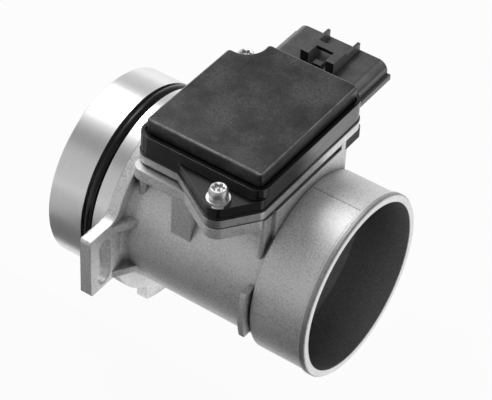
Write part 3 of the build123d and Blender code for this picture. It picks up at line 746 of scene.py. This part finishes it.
def makeCard(name, spec):
    bm = bmesh.new()
    bmesh.ops.create_grid(bm, x_segments=1, y_segments=1, size=0.5)
    x0, x1 = spec["x"]
    y0, y1 = spec["y"]
    height = cadLow.z - floorSpec["drop"] + cardLift
    bmesh.ops.scale(bm, verts=bm.verts, vec=(x1 - x0, y1 - y0, 1.0))
    bmesh.ops.translate(bm, verts=bm.verts, vec=((x0 + x1) / 2, (y0 + y1) / 2, height))
    card = addObject(name, bm)
    mat, _, shader = newMaterial(name + "Paper")
    shader.inputs["Base Color"].default_value = grey(spec["level"])
    shader.inputs["Roughness"].default_value = cardRough
    card.data.materials.append(mat)
    card.visible_camera = False
    card.visible_shadow = False


for name, spec in cards.items():
    makeCard(name, spec)

cameraSpec = {
    "azimuth": 33.042, "elevation": 42.499, "roll": 3.042, "distance": 825.99,
    "right": 2.08, "up": 9.83, "target": (35.2, 0.0, 0.0), "lens": 156.933, "sensor": 36.0,
    "clip": (0.05, 20.0),  # in metres, the other lengths in millimetres
}


def direction(azimuth, elevation):
    # unit vector toward a place on the sky, azimuth from +X
    a = math.radians(azimuth)
    e = math.radians(elevation)
    return Vector((math.cos(a) * math.cos(e), math.sin(a) * math.cos(e), math.sin(e)))


def makeCamera():
    spec = cameraSpec
    a = math.radians(spec["azimuth"])
    e = math.radians(spec["elevation"])
    r = math.radians(spec["roll"])
    back = Vector((math.sin(a) * math.cos(e), -math.cos(a) * math.cos(e), math.sin(e)))
    side = Vector((math.cos(a), math.sin(a), 0.0))
    top = side.cross(-back)
    right = side * math.cos(r) + top * math.sin(r)
    up = top * math.cos(r) - side * math.sin(r)
    place = Vector(spec["target"]) + back * spec["distance"] + right * spec["right"] + up * spec["up"]
    data = bpy.data.cameras.new("studioCamera")
    data.lens = spec["lens"]
    data.sensor_width = spec["sensor"]
    data.clip_start, data.clip_end = spec["clip"]
    camera = bpy.data.objects.new("studioCamera", data)
    camera.matrix_world = Matrix.Translation(place * mm) @ Matrix((right, up, back)).transposed().to_4x4()
    bpy.context.scene.collection.objects.link(camera)
    bpy.context.scene.camera = camera


makeCamera()

# softboxes: direction from the object, distance, size and brightness of each panel
aim = Vector((0.035, 0.0, 0.0))
softboxes = {
    "topBox": {"azimuth": 152.0, "elevation": 57.0, "distance": 1.1, "size": (0.42, 0.36), "level": 6.5},
    "leftWall": {"azimuth": -118.0, "elevation": 16.0, "distance": 1.4, "size": (1.3, 1.2), "level": 0.30},
    "backWall": {"azimuth": 108.0, "elevation": -2.0, "distance": 1.5, "size": (1.5, 0.6), "level": 0.5},
}


def makeSoftbox(name, spec):
    toward = direction(spec["azimuth"], spec["elevation"])
    data = bpy.data.lights.new(name, "AREA")
    data.shape = "RECTANGLE"
    data.size, data.size_y = spec["size"]
    data.energy = spec["level"] * math.pi * data.size * data.size_y
    lamp = bpy.data.objects.new(name, data)
    lamp.location = aim + toward * spec["distance"]
    lamp.rotation_mode = "QUATERNION"
    lamp.rotation_quaternion = toward.to_track_quat("Z", "Y")
    lamp.visible_camera = False
    bpy.context.scene.collection.objects.link(lamp)


for name, spec in softboxes.items():
    makeSoftbox(name, spec)

# soft-edged bright areas of the room round the panels: angles from the middle, in degrees
glows = {
    "overhead": {"azimuth": 160.0, "elevation": 58.0, "full": 12.0, "edge": 36.0, "level": 0.75},
    "behind": {"azimuth": 114.0, "elevation": 0.0, "full": 18.0, "edge": 44.0, "level": 0.40},
}
roomLevel = 0.24


def background(tree, strength):
    node = tree.nodes.new("ShaderNodeBackground")
    node.inputs["Color"].default_value = grey(1.0)
    plug(tree, strength, node.inputs["Strength"])
    return node.outputs[0]


def makeWorld():
    world = bpy.data.worlds.new("studioWorld")
    bpy.context.scene.world = world
    world.use_nodes = True
    tree = world.node_tree
    tree.nodes.clear()
    sky = tree.nodes.new("ShaderNodeTexCoord").outputs["Generated"]
    strength = roomLevel
    for glow in glows.values():
        near = tree.nodes.new("ShaderNodeVectorMath")
        near.operation = "DOT_PRODUCT"
        tree.links.new(sky, near.inputs[0])
        near.inputs[1].default_value = direction(glow["azimuth"], glow["elevation"])
        away = mathNode(tree, "ARCCOSINE", near.outputs["Value"])
        full, edge = math.radians(glow["full"]), math.radians(glow["edge"])
        strength = mathNode(tree, "ADD", rangeNode(tree, away, full, edge, glow["level"], 0.0), strength)

    # the camera sees plain white in place of the room
    rays = tree.nodes.new("ShaderNodeLightPath")
    mixer = tree.nodes.new("ShaderNodeMixShader")
    out = tree.nodes.new("ShaderNodeOutputWorld")
    tree.links.new(rays.outputs["Is Camera Ray"], mixer.inputs[0])
    tree.links.new(background(tree, strength), mixer.inputs[1])
    tree.links.new(background(tree, 1.0), mixer.inputs[2])
    tree.links.new(mixer.outputs[0], out.inputs["Surface"])


makeWorld()
bpy.context.scene.view_settings.view_transform = "Standard"
print("studio ready")
